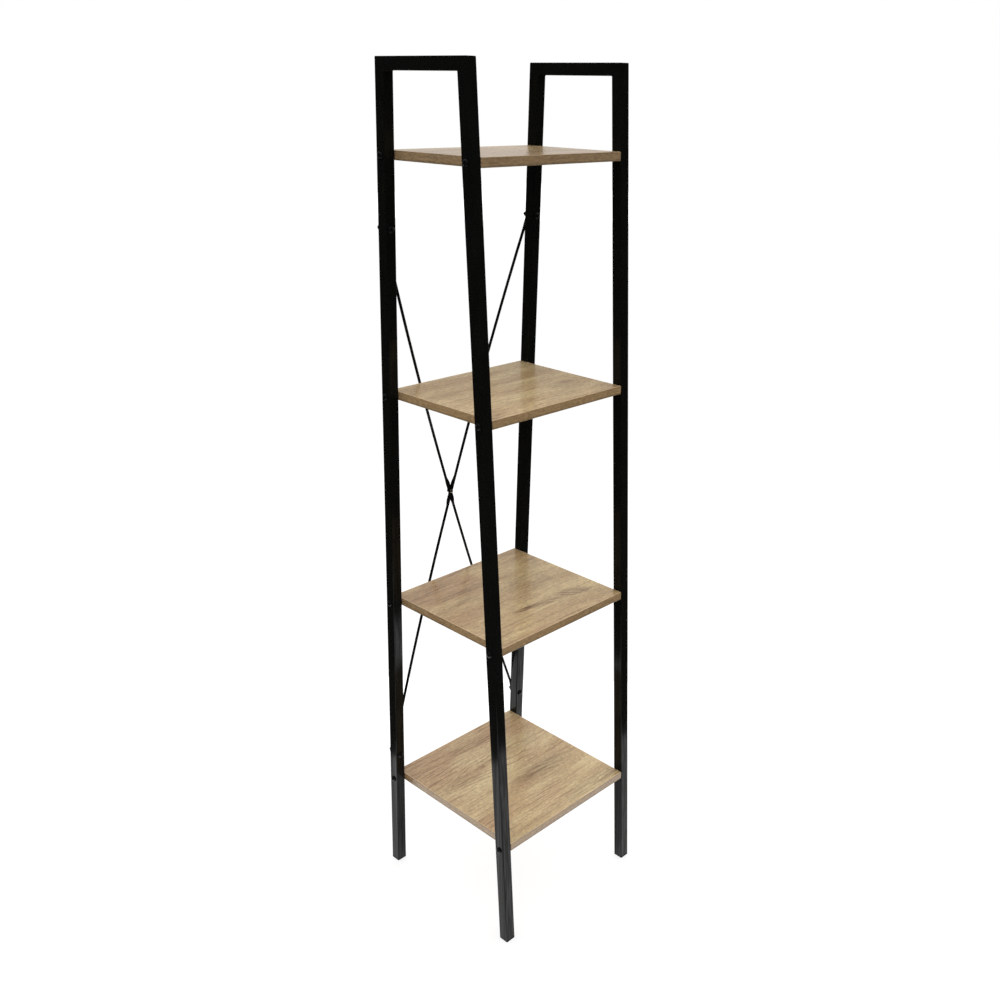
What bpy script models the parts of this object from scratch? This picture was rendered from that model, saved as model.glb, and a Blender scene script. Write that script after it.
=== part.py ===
"""Etagere: two welded side frames of square tube carry four boards, and two crossed rods brace the back.

Sizes are in metres. +X is the right, +Y the back and +Z up, and the origin is on the floor, below
the middle. The legs of each side frame lean towards each other, so every board is as deep as the
legs are apart at its height.
"""
from math import atan, cos, pi, radians, sin, sqrt, tan, tau

import bmesh
import bpy
from mathutils import Matrix, Vector

# Whole object, over the tubes' outer faces
WIDTH = 0.350
HEIGHT = 1.540
FLOOR_DEPTH = 0.348
TOP_DEPTH = 0.208

# Gap between pieces that touch or fit into each other
GAP = 0.0003

# Square tube of the side frames
TUBE = 0.020
TUBE_WALL = 0.0012
TUBE_CORNER = 0.0012
TUBE_INSIDE_CORNER = 0.0006
MITRE_ROUNDING = 0.0012
WELD_FILLET = 0.0022

# Boards
BOARD = 0.015
BOARD_ROUNDING = 0.0008
BOTTOM_SHELF_TOP = 0.212
TOP_SHELF_DROP = 0.135
UPPER_SPACE_LESS = 0.007

# M6 bolts with a round head and a hexagon socket
BOLT = 0.006
BOLT_HEAD = 0.0115
BOLT_HEAD_HEIGHT = 0.0033
BOLT_SOCKET = 0.004
BOLT_SOCKET_DEPTH = 0.0018
BOLT_CHAMFER = 0.0006
HEAD_RIM_SHARE = 0.25
BOLT_IN_BOARD = 0.0145
BOLT_PAST_NUT = 0.0045

# Threaded inserts in the boards' ends
INSERT_WALL = 0.0014
INSERT_LENGTH = 0.013
INSERT_BORE_SPARE = 0.003

# M6 nuts
NUT = 0.010
NUT_HEIGHT = 0.005

# Round rods of the brace, pressed flat at their ends and where they cross
ROD = 0.005
ROD_BOW = 0.0185
ROD_TAPER = 0.014
TONGUE = 0.0115
TONGUE_THICKNESS = 0.0018
TONGUE_FLAT = 0.012
PLATE = 0.009
PLATE_THICKNESS = 0.0022
PLATE_SPARE = 0.0035
BRACE_OVER_BOTTOM_SHELF = 0.051
BRACE_UNDER_TOP_SHELF = 0.105

# M4 screw and nut where the rods cross
MIDDLE_SCREW = 0.004
MIDDLE_HEAD = 0.0076
MIDDLE_HEAD_HEIGHT = 0.0022
MIDDLE_SOCKET = 0.0025
MIDDLE_SOCKET_DEPTH = 0.0012
MIDDLE_NUT = 0.007
MIDDLE_NUT_HEIGHT = 0.0032
MIDDLE_PAST_NUT = 0.0012

# Caps in the legs' open ends
CAP_FLANGE = 0.002
CAP_ROUNDING = 0.0005
CAP_PLUG = 0.014
CAP_WALL = 0.0015
CAP_RIB_REACH = 0.001
CAP_RIB_HEIGHT = 0.001
CAP_RIBS = 2

# Facets
ROUND_SIDES = 12
CORNER_STEPS = 2
MITRE_STEPS = 3
BOARD_ROUNDING_STEPS = 2
HEAD_STEPS = 2
TAPER_STEPS = 3
BOW_STEPS = 9
NOSE_STEPS = 3
NOSE_SWEEP = radians(78)
SHARP_ANGLE = radians(38)

# Worked out from the sizes above
SLOPE = (FLOOR_DEPTH - TOP_DEPTH) / 2 / HEIGHT
LEAN = atan(SLOPE)
FRAME_X = (WIDTH - TUBE) / 2
BOARD_LENGTH = WIDTH - 2 * TUBE - 2 * GAP
LEG_END = CAP_FLANGE + GAP
BOLT_HOLE = BOLT + 2 * GAP
INSERT = BOLT_HOLE + 2 * INSERT_WALL
INSERT_BORE = INSERT + 2 * GAP
TOP_SHELF_TOP = HEIGHT - TOP_SHELF_DROP
SHELF_SPACE = (TOP_SHELF_TOP - BOTTOM_SHELF_TOP + UPPER_SPACE_LESS) / 3
SHELF_TOPS = {
    "bottom": BOTTOM_SHELF_TOP,
    "lower": BOTTOM_SHELF_TOP + SHELF_SPACE,
    "upper": BOTTOM_SHELF_TOP + 2 * SHELF_SPACE,
    "top": TOP_SHELF_TOP,
}
BRACE_LOW = BOTTOM_SHELF_TOP + BRACE_OVER_BOTTOM_SHELF
BRACE_HIGH = TOP_SHELF_TOP - BOARD - BRACE_UNDER_TOP_SHELF
SIDES = {"left": -1, "right": 1}
ENDS = {"front": -1, "back": 1}


# Places on the leaning legs

def leg_face(height):
    """How far in front of or behind the middle the legs' outer faces are at a height."""
    return FLOOR_DEPTH / 2 - SLOPE * height


def leg_point(end, across, inward, height):
    """A point of a leg: across its width, and inward from its outer face, square to that face."""
    return Vector((across, end * (leg_face(height) - inward / cos(LEAN)), height))


def back_plane():
    """The plane of the back legs' rear faces: X stays, Y points away from the legs, Z climbs them."""
    return Matrix.Translation((0, FLOOR_DEPTH / 2, 0)) @ Matrix.Rotation(LEAN, 4, "X")


def along_back(height):
    """The climb along the back legs' rear faces that reaches a height above the floor."""
    return height / cos(LEAN)


def facing(side):
    """Turns a piece made along +Z so that it points out of the left or the right side."""
    return Matrix.Rotation(side * pi / 2, 4, "Y")


FACING_FRONT = Matrix.Rotation(pi / 2, 4, "X")
FACING_BACK = Matrix.Rotation(-pi / 2, 4, "X")


# Outlines and bodies

def circle(diameter, height):
    """A round outline across Z, as a polygon whose corners lie on the circle."""
    angles = [tau * i / ROUND_SIDES for i in range(ROUND_SIDES)]
    return [Vector((diameter / 2 * cos(a), diameter / 2 * sin(a), height)) for a in angles]


def hexagon(across_flats, height):
    """A hexagon across Z, with a point in the middle of each side to match the round outlines."""
    points = []
    for i in range(ROUND_SIDES):
        sector = pi / 3
        angle = tau * i / ROUND_SIDES
        from_flat = (angle + sector / 2) % sector - sector / 2
        radius = across_flats / 2 / cos(sector / 2 - abs(from_flat))
        points.append(Vector((radius * cos(angle), radius * sin(angle), height)))
    return points


def tube_section(inset, corner):
    """The tube's outline drawn in by an inset: pairs of the place across and the place inward."""
    half = TUBE / 2 - inset
    points = []
    for quarter in range(4):
        for step in range(CORNER_STEPS + 1):
            angle = pi / 2 * (quarter + step / CORNER_STEPS)
            sign_x = 1 if quarter in (0, 3) else -1
            sign_y = 1 if quarter in (0, 1) else -1
            across = sign_x * (half - corner) + corner * cos(angle)
            inward = sign_y * (half - corner) + corner * sin(angle)
            points.append((across, TUBE / 2 + inward))
    return points


def skin(rings, joined=False):
    """A closed body through rings of points, capped at its ends or joined from the last to the first."""
    form = bmesh.new()
    loops = [[form.verts.new(point) for point in ring] for ring in rings]
    pairs = list(zip(loops, loops[1:]))
    if joined:
        pairs.append((loops[-1], loops[0]))
    else:
        form.faces.new(loops[0])
        form.faces.new(loops[-1])
    for near, far in pairs:
        for i in range(len(near)):
            j = (i + 1) % len(near)
            form.faces.new((near[i], near[j], far[j], far[i]))
    bmesh.ops.recalc_face_normals(form, faces=form.faces)
    return form


# Objects

def finish(name, colour, roughness, metallic=0.0):
    """A plain surface."""
    material = bpy.data.materials.new(name)
    material.use_nodes = True
    shader = material.node_tree.nodes["Principled BSDF"]
    shader.inputs["Base Color"].default_value = (*colour, 1)
    shader.inputs["Roughness"].default_value = roughness
    shader.inputs["Metallic"].default_value = metallic
    return material


def mesh_of(name, form, material):
    """A mesh with smooth round faces and sharp edges, from a body that isn't needed any more."""
    mesh = bpy.data.meshes.new(name)
    form.to_mesh(mesh)
    form.free()
    mesh.materials.append(material)
    mesh.shade_smooth()
    mesh.set_sharp_from_angle(angle=SHARP_ANGLE)
    return mesh


def place(name, mesh, matrix, parent=None):
    """An object at its place, seen from its parent."""
    piece = bpy.data.objects.new(name, mesh)
    bpy.context.scene.collection.objects.link(piece)
    piece.parent = parent
    piece.matrix_basis = matrix
    return piece


def drill(piece, holes):
    """Cuts round holes: each has its place and direction, its diameter, and where it starts and ends."""
    form = bmesh.new()
    for matrix, diameter, start, end in holes:
        cylinder = skin([circle(diameter, start), circle(diameter, end)])
        cylinder.transform(matrix)
        part = bpy.data.meshes.new("hole")
        cylinder.to_mesh(part)
        cylinder.free()
        form.from_mesh(part)
        bpy.data.meshes.remove(part)
    mesh = bpy.data.meshes.new(f"{piece.name}_holes")
    form.to_mesh(mesh)
    form.free()
    cutter = place(f"{piece.name}_holes", mesh, Matrix(), piece)
    cutter.display_type = "WIRE"
    cutter.hide_render = True
    cut = piece.modifiers.new("Holes", "BOOLEAN")
    cut.operation = "DIFFERENCE"
    cut.solver = "EXACT"
    cut.object = cutter


# Side frames

def shelf_bolt_place(side, end, shelf_top):
    """Where a shelf bolt's head lies on the frame's outer face, seen from the frame."""
    middle = shelf_top - BOARD / 2
    point = leg_point(end, side * (TUBE / 2 + GAP), TUBE / 2, middle)
    return Matrix.Translation(point) @ facing(side)


def brace_bolt_place(side, height):
    """Where a brace bolt's head lies on the back leg's front face, seen from the whole object."""
    return back_plane() @ Matrix.Translation((side * FRAME_X, -TUBE - GAP, along_back(height))) @ FACING_FRONT


def mitre(end, section):
    """Rings round a mitred corner, whose outer edge is ground round and whose inner edge the weld fills."""
    rings = []
    for step in range(MITRE_STEPS + 1):
        share = step / MITRE_STEPS
        ring = []
        for across, inward in section:
            radius = MITRE_ROUNDING + (WELD_FILLET - MITRE_ROUNDING) * inward / TUBE
            sharp = leg_point(end, across, inward, HEIGHT - inward)
            on_leg = leg_point(end, across, inward, HEIGHT - inward - radius)
            on_bar = sharp - Vector((0, end * radius, 0))
            point = on_leg * (1 - share) ** 2 + sharp * 2 * share * (1 - share) + on_bar * share ** 2
            ring.append(point)
        rings.append(ring)
    return rings


def side_frame_mesh(material):
    """A leg, the top bar and a leg as one hollow tube with welded corners and open feet."""
    outside = tube_section(0, TUBE_CORNER)
    inside = tube_section(TUBE_WALL, TUBE_INSIDE_CORNER)

    def foot(end, section):
        return [leg_point(end, across, inward, LEG_END) for across, inward in section]

    def run(section):
        return [foot(-1, section), *mitre(-1, section), *mitre(1, section)[::-1], foot(1, section)]

    rings = run(outside) + run(inside)[::-1]
    return mesh_of("side_frame", skin(rings, joined=True), material)


def add_side_frame(name, side, mesh):
    """A side frame with the holes of its shelf bolts and brace bolts."""
    to_frame = Matrix.Translation((side * FRAME_X, 0, 0))
    frame = place(f"{name}_side_frame", mesh, to_frame)
    through = TUBE + 3 * GAP
    holes = []
    for end in ENDS.values():
        for top in SHELF_TOPS.values():
            holes.append((shelf_bolt_place(side, end, top), BOLT_HOLE, GAP, -through))
    for height in (BRACE_LOW, BRACE_HIGH):
        matrix = to_frame.inverted() @ brace_bolt_place(side, height)
        holes.append((matrix, BOLT_HOLE, GAP, -through))
    drill(frame, holes)
    return frame


# Boards

def board_mesh(name, shelf_top, material):
    """A board between the frames, as deep as the legs are apart at the middle of its thickness."""
    depth = 2 * leg_face(shelf_top - BOARD / 2)
    form = bmesh.new()
    bmesh.ops.create_cube(form, size=1, matrix=Matrix.Diagonal((BOARD_LENGTH, depth, BOARD, 1)))
    return mesh_of(name, form, material)


def add_board(name, shelf_top, material, insert_mesh):
    """A board with a rounded edge band, the bores in its ends and the inserts in them."""
    middle = shelf_top - BOARD / 2
    mesh = board_mesh(f"{name}_shelf", shelf_top, material)
    board = place(f"{name}_shelf", mesh, Matrix.Translation((0, 0, middle)))
    rounding = board.modifiers.new("Rounding", "BEVEL")
    rounding.width = BOARD_ROUNDING
    rounding.segments = BOARD_ROUNDING_STEPS
    bore_end = max(INSERT_LENGTH, BOLT_IN_BOARD) + INSERT_BORE_SPARE
    holes = []
    for side_name, side in SIDES.items():
        for end_name, end in ENDS.items():
            mouth = leg_point(end, side * BOARD_LENGTH / 2, TUBE / 2, middle) - Vector((0, 0, middle))
            matrix = Matrix.Translation(mouth) @ facing(side)
            holes.append((matrix, INSERT_BORE, GAP, -bore_end))
            place(f"insert_{name}_{end_name}_{side_name}", insert_mesh, matrix, board)
    drill(board, holes)


# Fasteners, made along +Z with the head's underside or the mouth at zero

def bolt_form(diameter, length, head, head_height, socket, socket_depth):
    """A round-headed bolt with a hexagon socket and a chamfered end."""
    rim = head_height * HEAD_RIM_SHARE
    rings = [
        circle(diameter - 2 * BOLT_CHAMFER, -length),
        circle(diameter, BOLT_CHAMFER - length),
        circle(diameter, 0),
        circle(head, 0),
    ]
    flat = (socket * 2 / sqrt(3) + head) / 2 / head
    steepest = pi / 2 - atan(flat)
    for step in range(HEAD_STEPS + 1):
        angle = steepest * step / HEAD_STEPS
        rise = sin(angle) / sin(steepest)
        rings.append(circle(head * cos(angle), rim + (head_height - rim) * rise))
    rings.append(hexagon(socket, head_height))
    rings.append(hexagon(socket, head_height - socket_depth))
    return skin(rings)


def nut_form(thread, across_flats, height):
    """A hexagon nut with its outer corners turned off."""
    corner_depth = across_flats * (1 / sqrt(3) - 1 / 2) / 2
    rings = [
        circle(thread, 0),
        hexagon(across_flats, 0),
        hexagon(across_flats, height - corner_depth),
        circle(across_flats - corner_depth, height),
        circle(thread, height),
    ]
    return skin(rings, joined=True)


def insert_form():
    """A plain sleeve for the bolt's thread, as long as the insert."""
    rings = [
        circle(BOLT_HOLE, 0),
        circle(INSERT, 0),
        circle(INSERT, -INSERT_LENGTH),
        circle(BOLT_HOLE, -INSERT_LENGTH),
    ]
    return skin(rings, joined=True)


# Foot caps

def cap_form(end):
    """A plastic plug with a flange under the leg's end and ribs that grip the tube from inside."""
    rib = TUBE_WALL + GAP
    core = rib + CAP_RIB_REACH
    hollow = core + CAP_WALL
    profile = [(0, CAP_ROUNDING), (CAP_ROUNDING, 0), (CAP_FLANGE, 0), (CAP_FLANGE, core)]
    space = (CAP_PLUG - CAP_RIBS * CAP_RIB_HEIGHT) / (CAP_RIBS + 1)
    level = CAP_FLANGE
    for _ in range(CAP_RIBS):
        level += space
        profile += [(level, core), (level, rib)]
        level += CAP_RIB_HEIGHT
        profile += [(level, rib), (level, core)]
    top = CAP_FLANGE + CAP_PLUG
    profile += [(top, core), (top, hollow), (CAP_FLANGE, hollow)]
    rings = []
    for height, inset in profile:
        corner = TUBE_CORNER if inset < TUBE_WALL else TUBE_INSIDE_CORNER
        rings.append([leg_point(end, across, inward, height) for across, inward in tube_section(inset, corner)])
    return skin(rings)


# Brace rods

def rod_ring(half_width, half_thickness):
    """The rod's section: round where both halves are alike, and else pressed flat with round edges."""
    step = tau / ROUND_SIDES
    radius = half_thickness / cos(step / 2)
    points = []
    for i in range(ROUND_SIDES):
        angle = step * (i + 0.5)
        shift = half_width - half_thickness
        points.append((shift * (1 if cos(angle) > 0 else -1) + radius * cos(angle), radius * sin(angle)))
    return points


def smooth(share):
    return share * share * (3 - 2 * share)


def plate_half(turn):
    """Half the length of the flat where two rods cross at an angle: to where they part, and a bit more."""
    return PLATE / 2 * (1 / tan(turn) + 1 / sin(turn)) + PLATE_SPARE


def half_rod(length, turn, bow, mating):
    """Stations of one half of a rod, from the middle to its end.

    Each has its place along the rod, half its width, half its thickness and its height over the
    legs. The flat at the middle lies on the rod's mating side, and the tongue lies on the leg.
    """
    reach = length / 2
    plate_end = plate_half(turn)
    tongue_start = reach - TONGUE_FLAT

    def height(along, half_thickness, pressed):
        share = max(0, (along - plate_end) / (tongue_start - plate_end))
        over = bow * (1 - min(1, share) ** 2)
        return GAP + ROD / 2 + over + pressed * (ROD / 2 - half_thickness)

    stations = []

    def add(along, half_width, half_thickness, pressed):
        stations.append((along, half_width, half_thickness, height(along, half_thickness, pressed)))

    for step in range(TAPER_STEPS + 1):
        share = smooth(step / TAPER_STEPS)
        half_width = (PLATE + share * (ROD - PLATE)) / 2
        half_thickness = (PLATE_THICKNESS + share * (ROD - PLATE_THICKNESS)) / 2
        add(plate_end + ROD_TAPER * step / TAPER_STEPS, half_width, half_thickness, mating)
    first = plate_end + ROD_TAPER
    last = tongue_start - ROD_TAPER
    for step in range(1, BOW_STEPS):
        add(first + (last - first) * step / BOW_STEPS, ROD / 2, ROD / 2, 0)
    for step in range(TAPER_STEPS + 1):
        share = smooth(step / TAPER_STEPS)
        half_width = (ROD + share * (TONGUE - ROD)) / 2
        half_thickness = (ROD + share * (TONGUE_THICKNESS - ROD)) / 2
        add(last + ROD_TAPER * step / TAPER_STEPS, half_width, half_thickness, -1)
    for step in range(NOSE_STEPS + 1):
        angle = NOSE_SWEEP * step / NOSE_STEPS
        half_width = max(TONGUE / 2 * cos(angle), TONGUE_THICKNESS / 2)
        add(reach + TONGUE / 2 * sin(angle), half_width, TONGUE_THICKNESS / 2, -1)
    return stations


def add_rod(name, low_side, bow, mating, material, plane):
    """A rod from a low screw on one side to a high screw on the other, bowed away from the legs."""
    low = Vector((low_side * FRAME_X, 0, along_back(BRACE_LOW)))
    high = Vector((-low_side * FRAME_X, 0, along_back(BRACE_HIGH)))
    run = (high - low).normalized()
    out = Vector((0, 1, 0))
    across = out.cross(run)
    middle = (low + high) / 2
    length = (high - low).length
    turn = 2 * atan(abs(run.x / run.z))
    half = half_rod(length, turn, bow, mating)
    stations = [(-along, *rest) for along, *rest in reversed(half)] + half
    rings = []
    for along, half_width, half_thickness, height in stations:
        centre = middle + run * along + out * height
        section = rod_ring(half_width, half_thickness)
        rings.append([centre + across * width + out * thick for width, thick in section])
    rod = place(name, mesh_of(name, skin(rings), material), Matrix(), plane)
    clear = ROD + GAP
    screw_height = half[0][3]
    holes = [
        (Matrix.Translation(low) @ FACING_BACK, BOLT_HOLE, -GAP / 2, clear),
        (Matrix.Translation(high) @ FACING_BACK, BOLT_HOLE, -GAP / 2, clear),
        (Matrix.Translation(middle + out * screw_height) @ FACING_BACK, MIDDLE_SCREW + 2 * GAP, -clear, clear),
    ]
    drill(rod, holes)


def add_brace(black, steel, bolt_finish, frames):
    """The two rods, the bolts and nuts at their ends, and the screw and nut where they cross."""
    plane = place("back_plane", None, back_plane())
    rear_bow = ROD_BOW + ROD + GAP
    add_rod("front_brace_rod", SIDES["left"], ROD_BOW, 1, black, plane)
    add_rod("rear_brace_rod", SIDES["right"], rear_bow, -1, black, plane)

    to_nut = GAP + TONGUE_THICKNESS + GAP
    length = GAP + TUBE + to_nut + NUT_HEIGHT + BOLT_PAST_NUT
    form = bolt_form(BOLT, length, BOLT_HEAD, BOLT_HEAD_HEIGHT, BOLT_SOCKET, BOLT_SOCKET_DEPTH)
    bolt = mesh_of("brace_bolt", form, bolt_finish)
    nut = mesh_of("brace_nut", nut_form(BOLT_HOLE, NUT, NUT_HEIGHT), bolt_finish)
    for level, height in (("low", BRACE_LOW), ("high", BRACE_HIGH)):
        for side_name, side in SIDES.items():
            frame = frames[side_name]
            matrix = frame.matrix_basis.inverted() @ brace_bolt_place(side, height)
            place(f"brace_bolt_{level}_{side_name}", bolt, matrix, frame)
            point = Vector((side * FRAME_X, to_nut, along_back(height)))
            place(f"brace_nut_{level}_{side_name}", nut, Matrix.Translation(point) @ FACING_BACK, plane)

    mating_face = GAP + ROD + ROD_BOW
    head_seat = mating_face - PLATE_THICKNESS - GAP
    nut_seat = mating_face + GAP + PLATE_THICKNESS + GAP
    length = nut_seat + MIDDLE_NUT_HEIGHT + MIDDLE_PAST_NUT - head_seat
    form = bolt_form(MIDDLE_SCREW, length, MIDDLE_HEAD, MIDDLE_HEAD_HEIGHT, MIDDLE_SOCKET, MIDDLE_SOCKET_DEPTH)
    screw = mesh_of("brace_middle_screw", form, steel)
    form = nut_form(MIDDLE_SCREW + 2 * GAP, MIDDLE_NUT, MIDDLE_NUT_HEIGHT)
    nut = mesh_of("brace_middle_nut", form, steel)
    climb = along_back((BRACE_LOW + BRACE_HIGH) / 2)
    place("brace_middle_screw", screw, Matrix.Translation((0, head_seat, climb)) @ FACING_FRONT, plane)
    place("brace_middle_nut", nut, Matrix.Translation((0, nut_seat, climb)) @ FACING_BACK, plane)


def main():
    for thing in list(bpy.data.objects):
        bpy.data.objects.remove(thing)

    paint = finish("black_paint", (0.005, 0.005, 0.0045), 0.3)
    wood = finish("oak_look_board", (0.40, 0.285, 0.165), 0.4)
    black_steel = finish("black_steel", (0.015, 0.015, 0.015), 0.35, 1.0)
    zinc = finish("zinc_plated_steel", (0.55, 0.55, 0.53), 0.3, 1.0)
    plastic = finish("black_plastic", (0.02, 0.02, 0.02), 0.5)

    frame_mesh = side_frame_mesh(paint)
    frames = {name: add_side_frame(name, side, frame_mesh) for name, side in SIDES.items()}

    insert = mesh_of("insert", insert_form(), zinc)
    for name, top in SHELF_TOPS.items():
        add_board(name, top, wood, insert)

    length = GAP + TUBE + GAP + BOLT_IN_BOARD
    form = bolt_form(BOLT, length, BOLT_HEAD, BOLT_HEAD_HEIGHT, BOLT_SOCKET, BOLT_SOCKET_DEPTH)
    bolt = mesh_of("shelf_bolt", form, black_steel)
    caps = {end_name: mesh_of(f"{end_name}_foot_cap", cap_form(end), plastic) for end_name, end in ENDS.items()}
    for side_name, side in SIDES.items():
        for end_name, end in ENDS.items():
            for name, top in SHELF_TOPS.items():
                matrix = shelf_bolt_place(side, end, top)
                place(f"bolt_{name}_{end_name}_{side_name}", bolt, matrix, frames[side_name])
            place(f"foot_cap_{end_name}_{side_name}", caps[end_name], Matrix(), frames[side_name])

    add_brace(paint, zinc, black_steel, frames)


main()
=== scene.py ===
"""The looks of the etagere: paint, oak-look boards, finer fasteners, and a small studio round it.

Sizes are in metres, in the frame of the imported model: +X to the right, +Y to the back, +Z up.
"""
from math import atan, cos, pi, radians, sin, sqrt, tau

import bmesh
import bpy
import numpy as np
from bpy.props import FloatProperty, FloatVectorProperty, IntProperty, PointerProperty
from mathutils import Matrix, Vector


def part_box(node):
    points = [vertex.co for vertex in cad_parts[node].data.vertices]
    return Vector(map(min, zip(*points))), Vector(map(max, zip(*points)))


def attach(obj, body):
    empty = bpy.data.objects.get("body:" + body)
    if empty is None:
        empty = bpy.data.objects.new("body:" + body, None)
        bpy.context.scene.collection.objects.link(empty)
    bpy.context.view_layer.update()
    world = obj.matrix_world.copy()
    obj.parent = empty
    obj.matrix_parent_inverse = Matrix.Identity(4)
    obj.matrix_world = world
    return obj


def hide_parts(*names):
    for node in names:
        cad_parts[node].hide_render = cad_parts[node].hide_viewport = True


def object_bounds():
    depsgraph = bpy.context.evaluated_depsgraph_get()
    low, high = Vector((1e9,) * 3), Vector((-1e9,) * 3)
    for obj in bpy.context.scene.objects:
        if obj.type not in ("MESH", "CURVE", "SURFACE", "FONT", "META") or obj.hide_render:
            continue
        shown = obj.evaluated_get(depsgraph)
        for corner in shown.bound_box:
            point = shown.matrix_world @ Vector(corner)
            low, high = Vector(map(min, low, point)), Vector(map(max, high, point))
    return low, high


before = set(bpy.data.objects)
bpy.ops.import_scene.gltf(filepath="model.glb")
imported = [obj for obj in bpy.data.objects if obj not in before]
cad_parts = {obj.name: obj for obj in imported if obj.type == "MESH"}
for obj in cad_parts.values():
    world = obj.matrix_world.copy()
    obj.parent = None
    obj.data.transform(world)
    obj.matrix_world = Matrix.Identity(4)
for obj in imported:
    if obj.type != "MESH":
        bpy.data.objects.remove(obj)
CAD_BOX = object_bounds()
cap_low, cap_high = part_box("foot_cap_front_left")
TUBE = cap_high[0] - cap_low[0]

bl_info = {
    "name": "Etagere looks",
    "version": (1, 0, 0),
    "blender": (4, 5, 0),
    "location": "3D View > Sidebar > Etagere",
    "description": "Finishes a ladder etagere: paint, oak-look boards, fasteners, studio and camera",
    "category": "Object",
}

SIDES = ("left", "right")
ENDS = ("front", "back")
LEVELS = ("top", "upper", "lower", "bottom")

CORNERS = [f"{level}_{end}_{side}" for level in LEVELS for end in ENDS for side in SIDES]
BRACE_ENDS = [f"{level}_{side}" for level in ("low", "high") for side in SIDES]
FOOT_CAPS = [f"foot_cap_{end}_{side}" for end in ENDS for side in SIDES]

# How each board's print differs. Its tone is shaded along X and Y, and so does its rosier tone drift. The
# board's own tone and that shading along X and Y are partly the print's and partly painted light: they
# lighten the three lower boards, the bottom one most, in place of light and sheen that reach them, and make
# parts of each face lighter or darker as the light falls on them. The band is a share of the edge band's
# tone, and the gloss is the shader's specular level. Places and sizes are in metres from the board's middle.
# A streak has its place along and across the grain, half its length and width, its slope, its depth and the
# slant of its strokes. Arches, which only one board has, have the place of their tip, how far they run and
# half their width.
BOARD_FIGURES = {
    "top_shelf": {
        "seed": 3.1, "tone": (0.97, 0.99, 0.97), "shade": (0.45, 0.0), "rose": 0.45, "drift": (0.0, -2.0),
        "band": 0.95, "gloss": 0.5,
        "streaks": [(0.06, -0.03, 0.10, 0.02, 0.0, 0.3, 0.0)],
    },
    "upper_shelf": {
        "seed": 11.7, "tone": (1.13, 1.2, 1.23), "shade": (-0.9, -1.1), "rose": 0.35, "drift": (-0.5, 0.0),
        "band": 1.04, "gloss": 0.08,
        "streaks": [
            (-0.013, -0.022, 0.03, 0.006, 0.0, 0.35, 0.0),
            (0.102, -0.037, 0.03, 0.01, -0.1, 0.35, 0.3),
            (0.09, -0.055, 0.05, 0.035, 0.0, 0.38, 0.0),
            (-0.11, 0.035, 0.045, 0.035, 0.0, 0.32, 0.0),
        ],
    },
    "lower_shelf": {
        "seed": 23.4, "tone": (1.1, 1.14, 1.11), "shade": (-0.4, -0.9), "rose": 0.7, "drift": (-1.5, 2.0),
        "band": 1.0, "gloss": 0.5,
        "streaks": [
            (-0.027, -0.067, 0.03, 0.007, -0.1, 1.0, 0.0),
            (0.02, -0.076, 0.075, 0.011, -0.2, 0.75, 0.3),
            (0.092, -0.08, 0.045, 0.02, -0.3, 0.9, 0.6),
            (0.065, 0.01, 0.08, 0.045, 0.0, 0.45, 0.0),
            (-0.085, 0.034, 0.04, 0.006, 0.12, 0.45, 0.0),
            (-0.04, 0.07, 0.06, 0.012, 0.0, 0.3, 0.0),
        ],
    },
    "bottom_shelf": {
        "seed": 37.9, "tone": (1.31, 1.45, 1.55), "shade": (0.0, -0.7), "rose": 0.9, "drift": (-2.5, 3.0),
        "band": 0.8, "gloss": 0.5,
        "streaks": [
            (0.045, -0.0415, 0.06, 0.0045, 0.0, 1.0, 0.0),
            (0.03, -0.031, 0.09, 0.0025, 0.0, 0.7, 0.0),
            (0.05, -0.038, 0.1, 0.027, 0.0, 0.65, 0.15),
            (0.1, -0.147, 0.13, 0.021, 0.0, 0.6, 0.0),
            (-0.06, -0.148, 0.1, 0.006, 0.0, 0.4, 0.0),
            (0.085, 0.045, 0.06, 0.012, 0.0, 0.35, 0.0),
            (0.0, 0.125, 0.09, 0.025, 0.0, 0.5, 0.0),
            (-0.09, 0.04, 0.055, 0.03, 0.0, 0.3, 0.0),
        ],
        "arches": (-0.105, 0.043, 0.27, 0.05),
    },
}

# The inputs that take the figures of a streak and of the arches, in the order of those figures
STREAK_LABELS = ("Middle along", "Middle across", "Length", "Width", "Slope", "Depth", "Slant")
ARCH_LABELS = ("Tip along", "Tip across", "Length", "Width")

# Layers of the print. Each has its spots per metre along and across the grain and per step of the seed, the
# detail and roughness of its noise, and the limits of the noise that become nothing and one.
PRINT_LAYERS = {
    "Tone": ((4.5, 26, 1), 3.0, 0.5, (0.34, 0.66)),
    "Rose": ((7, 15, 2), 2.0, 0.5, (0.36, 0.64)),
    "Lines": ((10, 240, 1), 2.5, 0.55, (0.49, 0.64)),
    "Pores": ((110, 850, 1), 1.0, 0.5, (0.58, 0.7)),
    "Fine": ((60, 700, 1), 3.0, 0.6, None),
    "Grain": ((130, 320, 1), 3.0, 0.65, None),
}

# How far the grain wanders, in spots per metre and in metres, and the spots of the other broken forms
WANDER_SPOTS = (9, 22, 1)
WANDER = 0.014
STROKE_SPOTS = (20, 240, 3)
WOBBLE_SPOTS = (25, 70, 1)
BREAK_SPOTS = (60, 300, 2)
MOTTLING_SPOTS = (60, 60, 18)

# Arches: how much a distance along the grain counts beside one across it, and how many lie in a metre
ARCH_STRETCH = 0.2
ARCHES_PER_METRE = 125.0

# Limits of the facing that tell a board's ends, its face and its flat underside from its long edges
END_LIMIT = 0.6
FACE_LIMITS = (0.45, 0.75)
FLAT_LIMITS = (0.98, 0.85)

# The band's own print: its step of the seed, its share of the middle tone, and how much paler its ends are
BAND_SEED = 5.3
BAND_MID = 0.5
BAND_END = 1.12

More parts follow.
